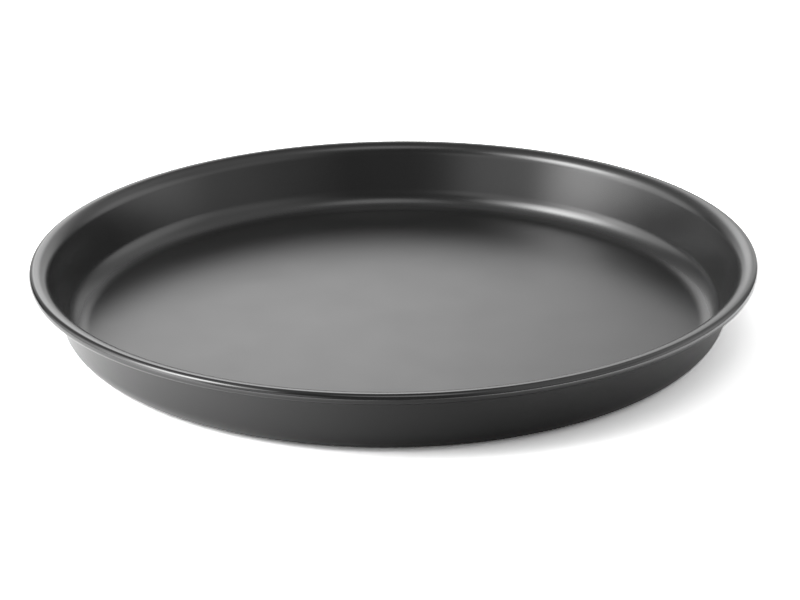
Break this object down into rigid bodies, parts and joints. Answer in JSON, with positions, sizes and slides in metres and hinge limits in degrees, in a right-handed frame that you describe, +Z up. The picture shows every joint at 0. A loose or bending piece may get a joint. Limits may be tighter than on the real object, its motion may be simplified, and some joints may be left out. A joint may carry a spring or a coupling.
{
  "type": "pizza pan",
  "caption": "Round coated steel pan with a flat floor, a coved sloping wall and a rolled, wired rim, for baking pizza or flat bread.",
  "frame": {"origin": "centre of the underside, on the surface that the pan stands on", "axes": "+Z up, along the pan's axis of revolution; X and Y lie in the plane of the floor and are alike"},
  "size_m": [0.32, 0.32, 0.0315],
  "materials": {
    "sheet_steel": "bare rolled sheet, seen only at the cut edge inside the roll",
    "wire_steel": "drawn wire",
    "inside_coat": "dark grey satin non-stick coat",
    "outside_coat": "dark grey satin non-stick coat"
  },
  "bodies": {
    "root": {"steel_pressing": "sheet_steel", "rim_wire": "wire_steel", "inside_coating": "inside_coat", "outside_coating": "outside_coat"}
  },
  "joints": []
}
